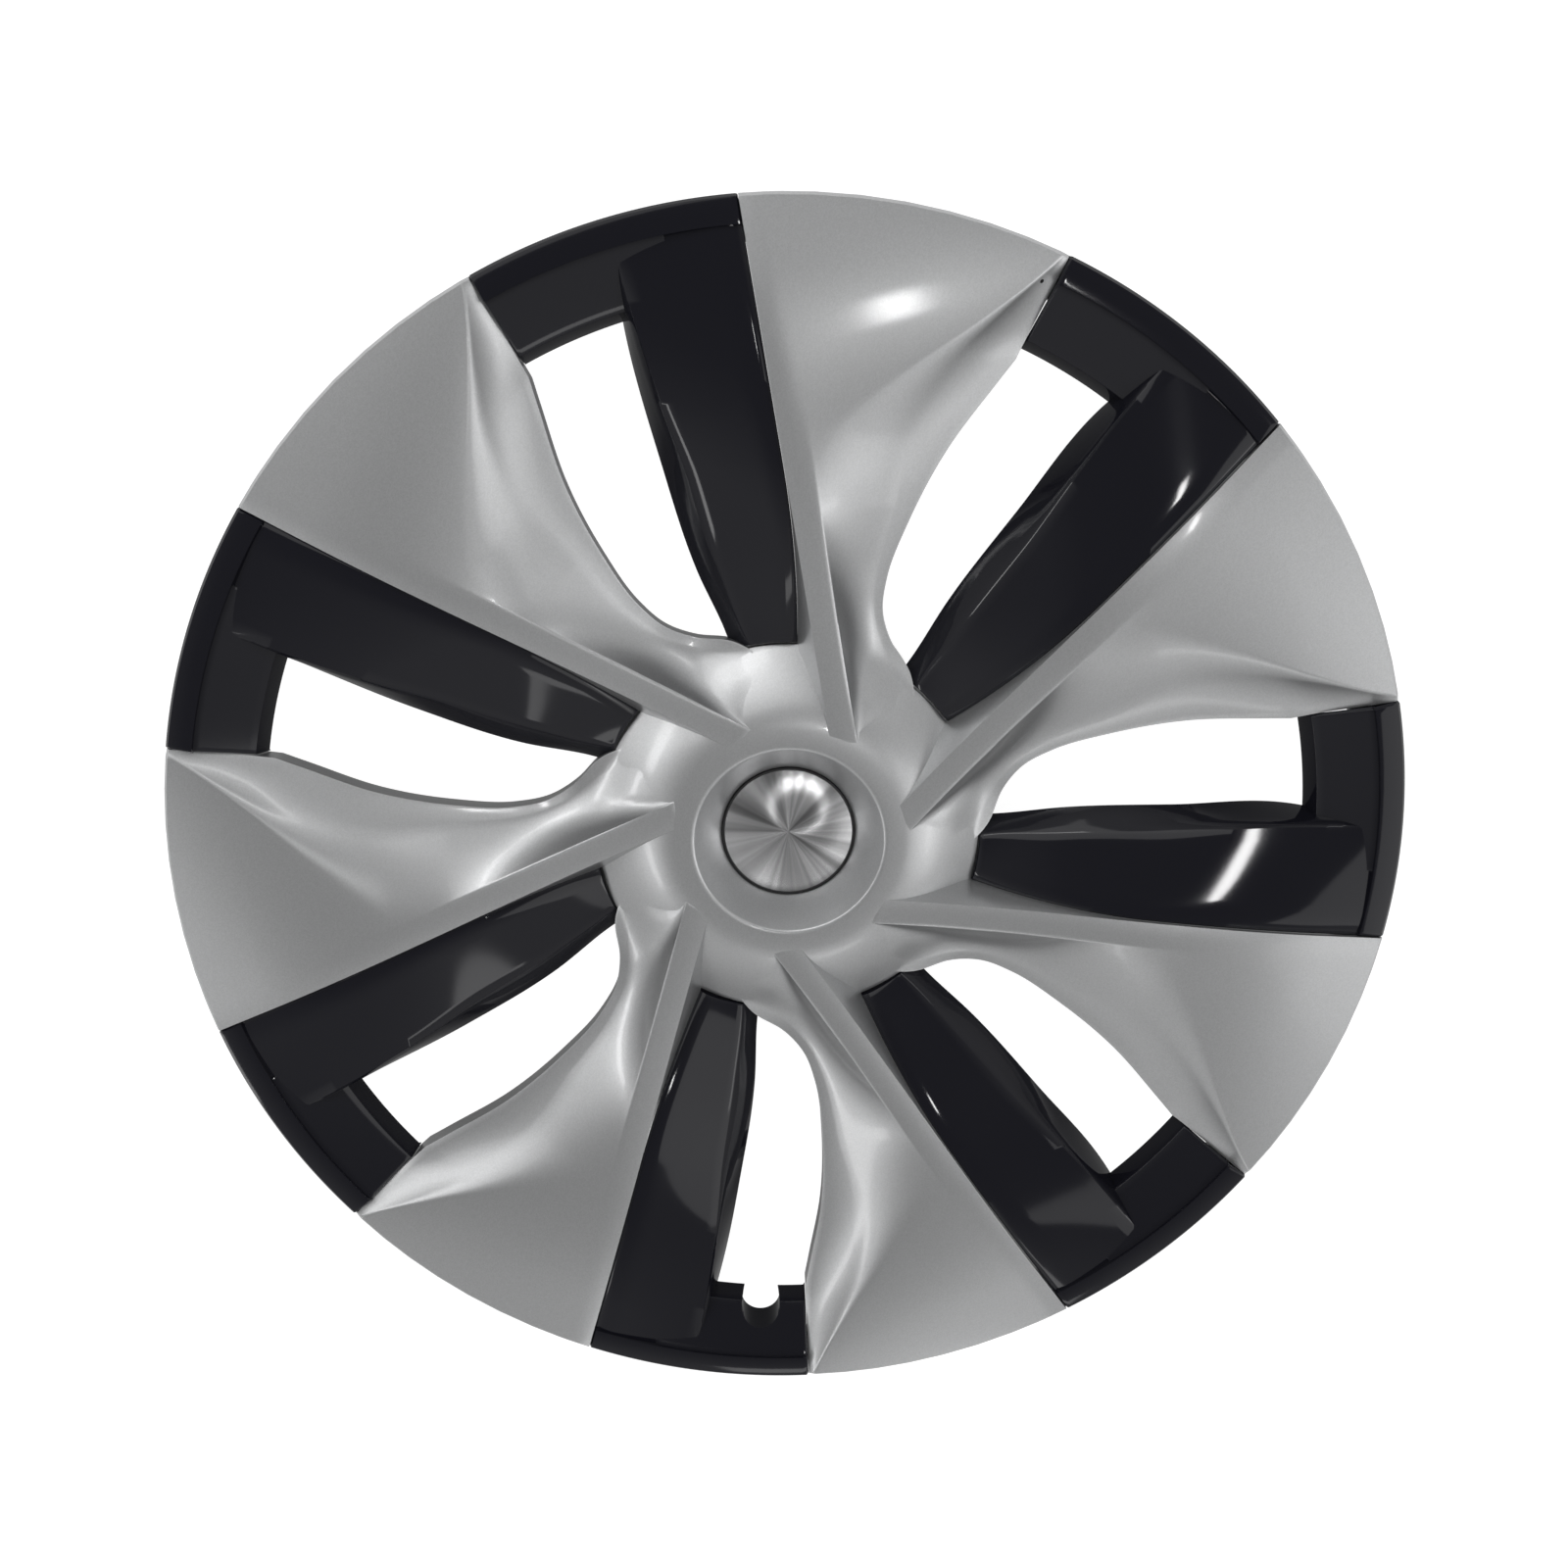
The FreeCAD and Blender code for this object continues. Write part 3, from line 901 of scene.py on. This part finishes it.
    def post(self) -> bpy.types.Object:
        """Clip post behind one blade.

        Returns:
            The post in sector 0.
        """
        mesh = bpy.data.meshes.new("post")
        shape = bmesh.new()
        bmesh.ops.create_cube(shape, size=1.0)
        turn = Matrix.Rotation(-math.atan2(self.post_at[0], self.post_at[1]), 4, "Z")
        size = Matrix.Diagonal((*self.post_size, 1.0))
        place = Matrix.Translation(self.post_at) @ turn @ size
        bmesh.ops.transform(shape, matrix=place, verts=shape.verts)
        shape.to_mesh(mesh)
        shape.free()
        return new_object("post", mesh)


@dataclass
class Ring:
    """Geometry Nodes tree that repeats one sector round the axis."""

    count: int = 7

    def tree(self, material: bpy.types.Material) -> bpy.types.NodeTree:
        """Builds the tree.

        Args:
            material: Material set on the result.

        Returns:
            The node tree.
        """
        tree = bpy.data.node_groups.new("sector_ring", "GeometryNodeTree")
        face = tree.interface
        face.new_socket("Geometry", in_out="INPUT", socket_type="NodeSocketGeometry")
        face.new_socket("Sectors", in_out="INPUT", socket_type="NodeSocketInt")
        face.new_socket("Pitch", in_out="INPUT", socket_type="NodeSocketFloat")
        face.new_socket("Geometry", in_out="OUTPUT", socket_type="NodeSocketGeometry")
        made = {kind: tree.nodes.new(kind) for kind in (
            "NodeGroupInput", "NodeGroupOutput", "GeometryNodePoints", "GeometryNodeInstanceOnPoints",
            "GeometryNodeInputIndex", "ShaderNodeMath", "ShaderNodeCombineXYZ",
            "GeometryNodeRealizeInstances", "GeometryNodeSetMaterial")}
        made["ShaderNodeMath"].operation = "MULTIPLY"
        made["GeometryNodeSetMaterial"].inputs["Material"].default_value = material
        links = tree.links
        enter, leave = made["NodeGroupInput"], made["NodeGroupOutput"]
        spots, copies = made["GeometryNodePoints"], made["GeometryNodeInstanceOnPoints"]
        links.new(enter.outputs["Sectors"], spots.inputs["Count"])
        links.new(spots.outputs["Points"], copies.inputs["Points"])
        links.new(enter.outputs["Geometry"], copies.inputs["Instance"])
        links.new(made["GeometryNodeInputIndex"].outputs[0], made["ShaderNodeMath"].inputs[0])
        links.new(enter.outputs["Pitch"], made["ShaderNodeMath"].inputs[1])
        links.new(made["ShaderNodeMath"].outputs[0], made["ShaderNodeCombineXYZ"].inputs["Z"])
        links.new(made["ShaderNodeCombineXYZ"].outputs[0], copies.inputs["Rotation"])
        links.new(copies.outputs["Instances"], made["GeometryNodeRealizeInstances"].inputs["Geometry"])
        links.new(made["GeometryNodeRealizeInstances"].outputs["Geometry"],
                  made["GeometryNodeSetMaterial"].inputs["Geometry"])
        links.new(made["GeometryNodeSetMaterial"].outputs["Geometry"], leave.inputs["Geometry"])
        return tree

    def repeat(self, piece: bpy.types.Object, material: bpy.types.Material) -> bpy.types.Object:
        """Repeats a sector 0 piece round the axis.

        Args:
            piece: The piece.
            material: Its material.

        Returns:
            The same object with all its copies in a plain mesh.
        """
        tree = self.tree(material)
        modifier = piece.modifiers.new("ring", "NODES")
        modifier.node_group = tree
        sockets = {item.name: item.identifier for item in tree.interface.items_tree if item.in_out == "INPUT"}
        modifier[sockets["Sectors"]] = self.count
        modifier[sockets["Pitch"]] = -math.radians(SIZES.pitch)
        return bake(piece)


@dataclass
class InsertBuilder:
    """Makes the gloss-black inserts."""

    stations: int = 90
    face_lanes: int = 12
    wall: float = 2.2
    lip_drop: float = 1.6
    lip_clearance: float = 0.15
    ridge_share: float = 0.3
    edge_roll: float = 1.0
    roll_share: float = 0.2
    lane_spread: float = 1.3
    arm_overlap: float = 0.6
    arm_start: float = 101.0
    arm_inner: tuple[float, float] = (211.0, 12.0)
    arm_foot: tuple[float, float] = (208.6, 20.5)
    notch_angle: float = 112.3
    notch_at: float = 212.5
    notch_radius: float = 8.4
    notch_foot: float = 20.4

    def _ridge(self, y: float) -> tuple[float, float]:
        """Middle of the rounded ridge between face and wall.

        Args:
            y: Distance from the axis.

        Returns:
            Offset and depth.
        """
        share = self.ridge_share
        last = 1.0 - share / (self.face_lanes - 1 + share)
        seam = (seam_x(y) - SIZES.seam_gap, seam_depth(y))
        ridge = (front_x(y), front_depth(y))
        foot = (back_x(y), back_depth(y))
        before = tuple(a + last * (b - a) for a, b in zip(seam, ridge))
        after = tuple(a + share * (b - a) for a, b in zip(ridge, foot))
        return tuple(0.25 * a + 0.5 * b + 0.25 * c for a, b, c in zip(before, ridge, after))

    def _lip(self, rows: list[list[Point]], at_end: bool) -> None:
        """Adds the sunk lip that closes the seam at one end of turned rows.

        Args:
            rows: Rows of a turned sheet, changed in place.
            at_end: True for the last row, False for the first.
        """
        reach = (SIZES.seam_gap - self.lip_clearance) / SIZES.rim_radius
        turn = Matrix.Rotation(reach if at_end else -reach, 3, "Z")
        edge = rows[-1] if at_end else rows[0]
        lip = [tuple(turn @ Vector((x, y, z - self.lip_drop / 1000.0))) for x, y, z in edge]
        rows.insert(len(rows) if at_end else 0, lip)

    def blade(self) -> bpy.types.Object:
        """Pitched blade from the hub's edge to the rim band.

        Returns:
            The shell in sector 0.
        """
        lanes: list[Lane] = [
            (lambda y: seam_x(y) - self.lip_clearance, lambda y: seam_depth(y) + self.lip_drop)]
        last = 1.0 - self.ridge_share / (self.face_lanes - 1 + self.ridge_share)
        for i in range(self.face_lanes):
            u = (i / (self.face_lanes - 1)) ** self.lane_spread * last
            roll = self.edge_roll * max(1.0 - u / self.roll_share, 0.0) ** 2
            lanes.append((lambda y, u=u: (1 - u) * (seam_x(y) - SIZES.seam_gap) + u * front_x(y),
                          lambda y, u=u, roll=roll: (1 - u) * seam_depth(y) + u * front_depth(y) + roll))
        lanes.append((lambda y: self._ridge(y)[0], lambda y: self._ridge(y)[1]))
        for u in (self.ridge_share, 0.5, 1.0):
            lanes.append((lambda y, u=u: front_x(y) + u * (back_x(y) - front_x(y)),
                          lambda y, u=u: front_depth(y) + u * (back_depth(y) - front_depth(y))))
        starts = [lane_end(lane[0], SIZES.hub_edge_radius + SIZES.seam_gap) for lane in lanes]
        ends = [lane_end(lane[0], SIZES.rim_radius - SIZES.band_width + self.arm_overlap) for lane in lanes]
        rows = []
        for i in range(self.stations + 1):
            t = i / self.stations
            row = []
            for (offset, depth), start, end in zip(lanes, starts, ends):
                y = start + t * (end - start)
                row.append(to_row(offset(y), y, depth(y)))
            rows.append(row)
        tip = [(x, y - 0.0002, z - 0.0036) for x, y, z in rows[0]]
        return shell(grid_mesh("insert_blade", [tip] + rows), self.wall, 0.7, limit=50.0)

    def arm(self, arm_end: float) -> bpy.types.Object:
        """Arm along the rim beside the vent.

        Args:
            arm_end: Angle at which the arm ends at the seam.

        Returns:
            The shell in sector 0.
        """
        inner = SIZES.rim_radius - SIZES.band_width + self.arm_overlap
        profile = [(inner, SIZES.band_step)]
        for i in range(1, 9):
            u = i / 8
            profile.append((inner + (self.arm_inner[0] - inner) * u,
                            SIZES.band_step + (self.arm_inner[1] - SIZES.band_step) * u))
        profile.append(self.arm_foot)
        rows = revolve_rows(profile, lambda radius: self.arm_start, arm_end, 40)
        self._lip(rows, True)
        return shell(grid_mesh("insert_arm", rows), self.wall, 0.8)

    def band(self, arm_end: float) -> bpy.types.Object:
        """Raised band and skirt along the rim.

        Args:
            arm_end: Angle at which the band ends at the seam.

        Returns:
            The shell in sector 0.
        """
        inner = SIZES.rim_radius - SIZES.band_width
        outer = SIZES.rim_radius
        profile = [(inner, 4.2), (inner, 0.0), (outer - 1.2, 0.0), (outer, 1.2), (outer, SIZES.skirt_depth)]

        def start(radius: float) -> float:
            """Angle at which the seam beside the strip crosses a radius."""
            y = lane_end(lambda v: strip_left(v) - SIZES.seam_gap, radius)
            return math.degrees(math.atan2(y, strip_left(y) - SIZES.seam_gap))

        rows = revolve_rows(profile, start, arm_end, 60)
        self._lip(rows, True)
        self._lip(rows, False)
        return shell(grid_mesh("insert_band", rows), self.wall, 0.7)

    def notch(self, arm: bpy.types.Object) -> list[bpy.types.Object]:
        """Cuts the valve notch into an arm and gives it its wall.

        Args:
            arm: The arm in sector 0.

        Returns:
            The cut arm and the notch's wall.
        """
        angle = math.radians(self.notch_angle)
        centre = (self.notch_at * math.cos(angle), self.notch_at * math.sin(angle))
        bore = self.notch_radius / 1000.0
        mesh = bpy.data.meshes.new("notch_tool")
        shape = bmesh.new()
        bmesh.ops.create_cone(shape, cap_ends=True, segments=48, radius1=bore, radius2=bore, depth=0.09)
        middle = Vector((centre[0] / 1000, centre[1] / 1000, 0.04))
        bmesh.ops.translate(shape, vec=middle, verts=shape.verts)
        shape.to_mesh(mesh)
        shape.free()
        tool = new_object("notch_tool", mesh)
        cut = arm.modifiers.new("notch", "BOOLEAN")
        cut.operation = "DIFFERENCE"
        cut.object = tool
        cut.solver = "EXACT"
        bake(arm)
        bpy.data.objects.remove(tool)
        rows = []
        inner = SIZES.rim_radius - SIZES.band_width + self.arm_overlap
        slope = (self.arm_inner[1] - SIZES.band_step) / (inner - self.arm_inner[0])
        for i in range(33):
            turn = angle - math.radians(100.0) + math.radians(200.0) * i / 32
            x = centre[0] + self.notch_radius * math.cos(turn)
            y = centre[1] + self.notch_radius * math.sin(turn)
            top = SIZES.band_step + (inner - math.hypot(x, y)) * slope
            rows.append([to_row(x, y, top), to_row(x, y, self.notch_foot)])
        lining = grid_mesh("notch_wall", rows)
        thick = lining.modifiers.new("wall", "SOLIDIFY")
        thick.thickness = self.wall / 1000.0
        thick.offset = 1.0
        return [arm, bake(lining)]

    def build(self, name: str, sector: int, notched: bool) -> bpy.types.Object:
        """Whole insert at its sector.

        Args:
            name: Name of the piece.
            sector: Sector number.
            notched: True for the insert with the valve notch.

        Returns:
            The piece.
        """
        arm_end = SIZES.arm_seam_angle - math.degrees(SIZES.seam_gap / SIZES.rim_radius)
        arm = self.arm(arm_end)
        parts = self.notch(arm) if notched else [arm]
        whole = join("insert_sector", [self.blade(), self.band(arm_end)] + parts)
        piece = turned_copy(name, whole, sector)
        bpy.data.objects.remove(whole)
        smooth(piece)
        return piece


@dataclass
class SmallParts:
    """Centre cap, disc and clips, kept as they were modelled."""

    shop: Shop

    def dress(self, node: str, slot: Slot, round_off: float) -> None:
        """Shows a CAD node through a merged copy with softened edges.

        Args:
            node: Node name.
            slot: Material slot.
            round_off: Edge radius in millimetres.
        """
        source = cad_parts[node]
        shape = bmesh.new()
        shape.from_mesh(source.data)
        bmesh.ops.remove_doubles(shape, verts=shape.verts, dist=1e-6)
        mesh = bpy.data.meshes.new(node + "_look")
        shape.to_mesh(mesh)
        shape.free()
        piece = new_object(node + "_look", mesh)
        bevel = piece.modifiers.new("round", "BEVEL")
        bevel.width = round_off / 1000.0
        bevel.segments = 2
        bevel.limit_method = "ANGLE"
        bevel.angle_limit = math.radians(40.0)
        bake(piece)
        smooth(piece)
        self.shop.place(piece, slot, [node])


@dataclass(frozen=True)
class Studio:
    """Camera at the photograph's angle, pale floor and soft light."""

    focal_px: float = 1353.83
    image_px: float = 1600.0
    tilt: tuple[float, float] = (0.27616, 0.02230)
    shift: Point = (0.01086, -0.12169, 2.15056)
    strips: tuple[tuple[float, float], ...] = (
        (60.0, 0.6), (110.0, 0.9), (160.0, 1.3), (210.0, 0.9), (280.0, 0.4), (345.0, 0.4))

    def camera(self) -> None:
        """Places the camera."""
        data = bpy.data.cameras.new("camera")
        data.sensor_width = 36.0
        data.lens = self.focal_px / self.image_px * 36.0
        data.clip_start = 0.01
        holder = bpy.data.objects.new("camera", data)
        bpy.context.scene.collection.objects.link(holder)
        radius = SIZES.rim_radius / 1000.0
        turn = Matrix.Rotation(self.tilt[0], 4, "X") @ Matrix.Rotation(self.tilt[1], 4, "Y")
        move = Matrix.Translation((self.shift[0] * radius, self.shift[1] * radius, -self.shift[2] * radius))
        drop = Matrix.Translation((0.0, 0.0, -SIZES.rim_plane / 1000.0))
        holder.matrix_world = (move @ turn @ drop).inverted()
        bpy.context.scene.camera = holder

    def floor(self) -> None:
        """Lays the pale floor."""
        mesh = bpy.data.meshes.new("floor")
        reach = 4.0
        mesh.from_pydata([(-reach, -reach, -0.0004), (reach, -reach, -0.0004), (reach, reach, -0.0004),
                          (-reach, reach, -0.0004)], [], [(0, 1, 2, 3)])
        floor = new_object("floor", mesh)
        # The floor's glow in reflections carries a painted shadow of the cover, dimmed near the axis.
        finish = Finish("pale_floor", (0.25, 0.25, 0.25), 0.0, 0.9, glow=0.95)
        floor.data.materials.append(finish.build())

    def light(self, name: str, place: Point, size: tuple[float, float], power: float) -> None:
        """Hangs one soft light aimed at the cover.

        Args:
            name: Name of the light.
            place: Where it hangs.
            size: Sides of its rectangle.
            power: Watts.
        """
        data = bpy.data.lights.new(name, "AREA")
        data.shape = "RECTANGLE"
        data.size, data.size_y = size
        data.energy = power
        lamp = bpy.data.objects.new(name, data)
        lamp.location = place
        lamp.rotation_euler = (Vector((0, 0, 0.03)) - Vector(place)).to_track_quat("-Z", "Y").to_euler()
        bpy.context.scene.collection.objects.link(lamp)

    def world(self, strength: float) -> None:
        """Sets a pale sky that is dimmer straight above, where the camera looks from.

        Args:
            strength: Brightness.
        """
        world = bpy.data.worlds.new("sky")
        world.use_nodes = True
        tree = world.node_tree
        place = tree.nodes.new("ShaderNodeTexCoord")
        split = tree.nodes.new("ShaderNodeSeparateXYZ")
        tree.links.new(place.outputs["Generated"], split.inputs["Vector"])
        ramp = tree.nodes.new("ShaderNodeValToRGB")
        stops = ((0.0, 0.55), (0.45, 1.0), (0.72, 0.9), (0.93, 0.3), (1.0, 0.25))
        while len(ramp.color_ramp.elements) < len(stops):
            ramp.color_ramp.elements.new(0.5)
        for element, (spot, tone) in zip(ramp.color_ramp.elements, stops):
            element.position = spot
            element.color = (tone, tone, tone, 1.0)
        tree.links.new(split.outputs["Z"], ramp.inputs["Fac"])
        tree.links.new(ramp.outputs["Color"], tree.nodes["Background"].inputs["Color"])
        tree.nodes["Background"].inputs["Strength"].default_value = strength
        bpy.context.scene.world = world

    def build(self) -> None:
        """Sets the whole stage."""
        self.camera()
        self.floor()
        self.world(0.59)
        self.light("key", (-0.5, 1.0, 1.25), (1.2, 1.2), 4.4)
        self.light("fill", (1.0, -0.3, 1.2), (0.9, 0.9), 2.5)
        self.light("window", (0.257, 0.077, 1.63), (0.13, 0.06), 0.9)
        for turn, power in self.strips:
            x, y = math.cos(math.radians(turn)), math.sin(math.radians(turn))
            self.light(f"strip_{turn:.0f}", (1.05 * x, 1.05 * y, 0.95), (0.5, 0.12), power)
        bpy.context.scene.view_settings.view_transform = "Standard"


def main() -> None:
    """Builds the pieces in order, then the stage."""
    logging.basicConfig(level=logging.INFO, format="%(name)s %(message)s")
    shop = Shop()
    maker = BladeBuilder()
    silver = shop.materials[Slot.SILVER]
    sector = join("sector", [maker.blade(), maker.post()])
    ring = Ring(SIZES.sectors).repeat(sector, silver)
    body = join("cover_body_look", [ring, maker.hub(), maker.carrier()])
    smooth(body)
    shop.place(body, Slot.SILVER, ["cover_body"])
    inserts = InsertBuilder()
    number = 0
    for k in range(SIZES.sectors):
        notched = k == 4
        number += 0 if notched else 1
        node = "insert_valve" if notched else f"insert_{number}"
        shop.place(inserts.build(node + "_look", k, notched), Slot.BLACK, [node])
    small = SmallParts(shop)
    small.dress("centre_cap", Slot.SATIN, 0.15)
    small.dress("cap_disc", Slot.DISC, 0.15)
    for k in range(SIZES.sectors):
        small.dress(f"retaining_clip_{k + 1}", Slot.STEEL, 0.1)
    Studio().build()


if __name__ == "__main__":
    main()
